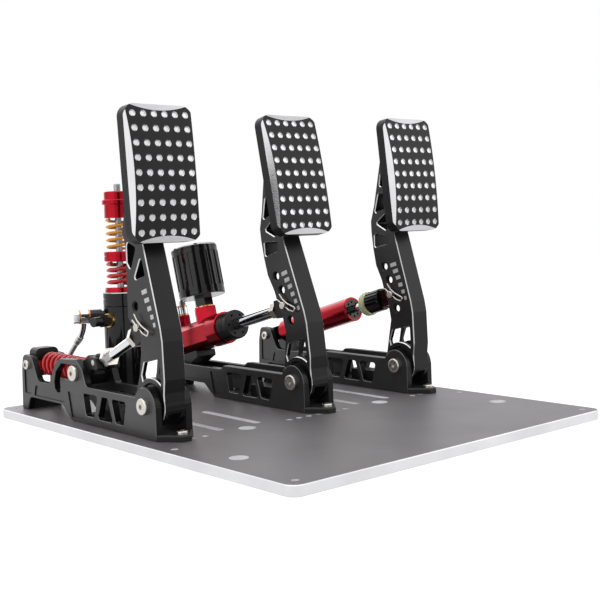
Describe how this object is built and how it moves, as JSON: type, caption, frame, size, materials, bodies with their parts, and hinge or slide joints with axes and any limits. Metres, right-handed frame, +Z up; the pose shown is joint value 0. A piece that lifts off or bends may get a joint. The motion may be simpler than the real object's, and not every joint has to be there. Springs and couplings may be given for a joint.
{
  "type": "sim racing pedal set",
  "caption": "Clutch, brake and throttle floor pedals for sim racing on a flat base plate, with sprung clutch, hydraulic brake and damped throttle.",
  "frame": {"origin": "centre of the base plate's underside", "axes": "+Z up; -Y towards the driver, so the pedals are pressed towards +Y; +X to the driver's right"},
  "size_m": [0.43, 0.52, 0.3324],
  "materials": {
    "plate_steel": "satin grey, bare silver edge",
    "wall_anodised": "dark grey anodised, brushed, sides of the modules",
    "arm_anodised": "black anodised, machined edges bare",
    "face_anodised": "black anodised, bevels and grip dimples bare",
    "black_metal": "black anodised, satin",
    "red_anodised": "red anodised, glossy",
    "steel_fasteners": "zinc plated and polished",
    "chrome_rods": "polished",
    "copper": "bare copper and brass",
    "red_spring": "gloss red coating",
    "amber_spring": "gloss amber coating",
    "spring_steel": "bare spring steel",
    "bump_rubber": "translucent yellow-green elastomer",
    "hose_braid": "braided steel over a flexible hose",
    "sensor_plastic": "moulded housing"
  },
  "bodies": {
    "frame": {"base_plate": "plate_steel", "clutch_left_wall": "wall_anodised", "clutch_right_wall": "wall_anodised", "clutch_floor": "wall_anodised", "brake_left_wall": "wall_anodised", "brake_right_wall": "wall_anodised", "brake_floor": "wall_anodised", "throttle_left_wall": "wall_anodised", "throttle_right_wall": "wall_anodised", "throttle_floor": "wall_anodised", "hinge_bolts": "steel_fasteners", "rear_bolts": "steel_fasteners", "floor_bolts": "steel_fasteners", "hinge_bearings": "steel_fasteners", "position_sensors": "sensor_plastic", "cylinder_boot": "black_metal", "master_cylinder": "red_anodised", "cylinder_bracket": "black_metal", "reservoir_fitting": "black_metal", "reservoir": "black_metal", "slave_cylinder": "black_metal", "slave_cap": "black_metal", "slave_top_cap": "red_anodised", "slave_tie_rod": "black_metal", "slave_fitting": "black_metal", "hose_banjos": "chrome_rods", "copper_washers": "copper", "brake_hose": "hose_braid", "clutch_rear_seat": "black_metal"},
    "clutch_pedal": {"clutch_arm": "arm_anodised", "clutch_face": "face_anodised", "clutch_face_bracket": "black_metal", "clutch_arm_pin": "steel_fasteners"},
    "brake_pedal": {"brake_arm": "arm_anodised", "brake_face": "face_anodised", "brake_face_bracket": "black_metal", "brake_arm_pin": "steel_fasteners"},
    "throttle_pedal": {"throttle_arm": "arm_anodised", "throttle_face": "face_anodised", "throttle_face_bracket": "black_metal", "throttle_arm_pin": "steel_fasteners"},
    "clutch_push_rod": {"clutch_fork": "black_metal", "clutch_rod": "chrome_rods"},
    "clutch_slider": {"clutch_carrier": "black_metal", "carrier_pins": "steel_fasteners", "clutch_spring": "red_spring"},
    "throttle_damper": {"damper_tube": "red_anodised", "damper_tube_cap": "black_metal", "damper_spring": "spring_steel"},
    "throttle_rod": {"throttle_fork": "black_metal", "damper_knob": "black_metal", "bump_ring": "bump_rubber", "damper_rod": "chrome_rods"},
    "brake_rod": {"brake_fork": "black_metal", "brake_push_rod": "chrome_rods", "brake_piston": "steel_fasteners"},
    "slave_shaft": {"slave_piston": "red_anodised", "slave_red_spring": "red_spring"},
    "slave_middle": {"slave_collar": "red_anodised", "slave_amber_spring": "amber_spring"}
  },
  "joints": [
    {"name": "clutch_pedal_hinge", "type": "hinge", "parent": "frame", "child": "clutch_pedal", "pos_m": [-0.174, -0.0186, 0.042], "axis": [-1, 0, 0], "range_deg": [0, 14], "stiffness_Nm_per_rad": 30, "springref_deg": -5.73},
    {"name": "brake_pedal_hinge", "type": "hinge", "parent": "frame", "child": "brake_pedal", "pos_m": [0.015, -0.0186, 0.042], "axis": [-1, 0, 0], "range_deg": [0, 8], "stiffness_Nm_per_rad": 120, "springref_deg": -2.29},
    {"name": "throttle_pedal_hinge", "type": "hinge", "parent": "frame", "child": "throttle_pedal", "pos_m": [0.1764, -0.0186, 0.042], "axis": [-1, 0, 0], "range_deg": [0, 16], "stiffness_Nm_per_rad": 20, "springref_deg": -6.88},
    {"name": "clutch_rod_swing", "type": "hinge", "parent": "clutch_pedal", "child": "clutch_push_rod", "pos_m": [-0.174, -0.00449, 0.11749], "axis": [-1, 0, 0], "range_deg": [-17.59, 0]},
    {"name": "clutch_slider_travel", "type": "slide", "parent": "frame", "child": "clutch_slider", "axis": [0, 1, 0], "range_m": [0, 0.02041], "deforming": ["clutch_spring"]},
    {"name": "damper_swing", "type": "hinge", "parent": "frame", "child": "throttle_damper", "pos_m": [0.1764, 0.222, 0.062], "axis": [-1, 0, 0], "range_deg": [0, 0.3]},
    {"name": "damper_stroke", "type": "slide", "parent": "throttle_damper", "child": "throttle_rod", "axis": [0, 0.9641, -0.2654], "range_m": [0, 0.02352], "deforming": ["damper_spring"]},
    {"name": "brake_rod_stroke", "type": "slide", "parent": "frame", "child": "brake_rod", "axis": [0, 0.9673, -0.2538], "range_m": [0, 0.01184]},
    {"name": "slave_shaft_lift", "type": "slide", "parent": "frame", "child": "slave_shaft", "axis": [0, 0, 1], "range_m": [0, 0.0091], "deforming": ["slave_red_spring"]},
    {"name": "slave_collar_lift", "type": "slide", "parent": "frame", "child": "slave_middle", "axis": [0, 0, 1], "range_m": [0, 0.0046], "deforming": ["slave_amber_spring"]}
  ],
  "couplings": [
    {"joint": "clutch_rod_swing", "follows": "clutch_pedal_hinge", "ratio": -1.2419},
    {"joint": "clutch_slider_travel", "follows": "clutch_pedal_hinge", "m_per_rad": 0.08272},
    {"joint": "damper_swing", "follows": "throttle_pedal_hinge", "ratio": 0.01},
    {"joint": "damper_stroke", "follows": "throttle_pedal_hinge", "m_per_rad": 0.083867},
    {"joint": "brake_rod_stroke", "follows": "brake_pedal_hinge", "m_per_rad": 0.084072},
    {"joint": "slave_shaft_lift", "follows": "brake_pedal_hinge", "m_per_rad": 0.064458},
    {"joint": "slave_collar_lift", "follows": "brake_pedal_hinge", "m_per_rad": 0.032229}
  ]
}
